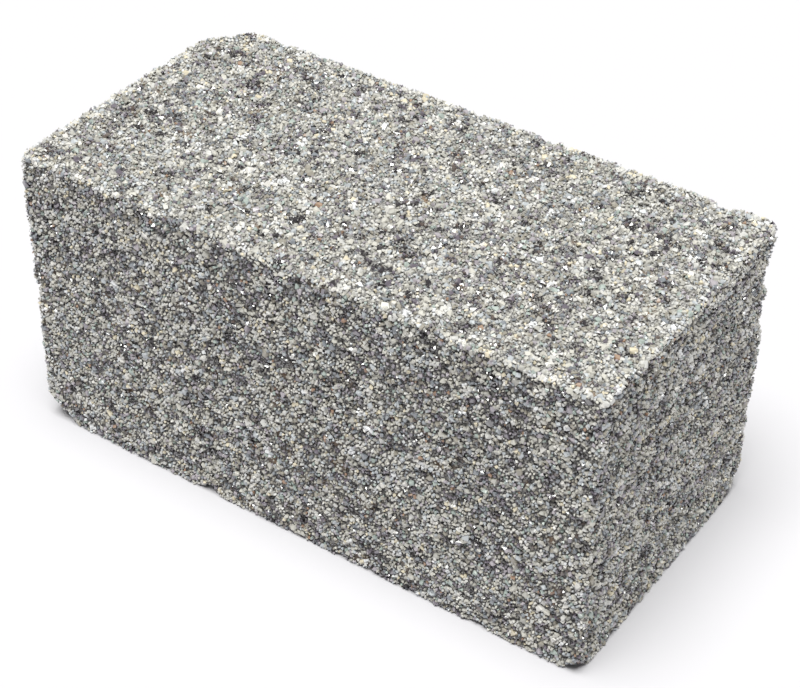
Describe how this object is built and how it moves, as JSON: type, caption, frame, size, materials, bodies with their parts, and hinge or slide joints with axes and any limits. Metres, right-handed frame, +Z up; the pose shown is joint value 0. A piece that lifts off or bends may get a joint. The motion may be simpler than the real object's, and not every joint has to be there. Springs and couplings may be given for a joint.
{
  "type": "sharpening whetstone",
  "caption": "Coarse bonded-abrasive sharpening block, a plain rectangular brick with worn edges and crumbled corners, free-standing, for rubbing and dressing tool edges.",
  "frame": {"origin": "middle of the underside", "axes": "+X along the length, +Y to the back, +Z up out of the top working face"},
  "size_m": [0.1, 0.05, 0.05],
  "materials": {
    "bonded_abrasive": "coarse open-grained bonded abrasive, grey with pale, dark and a few rusty grains"
  },
  "bodies": {
    "root": {"whetstone": "bonded_abrasive"}
  },
  "joints": []
}
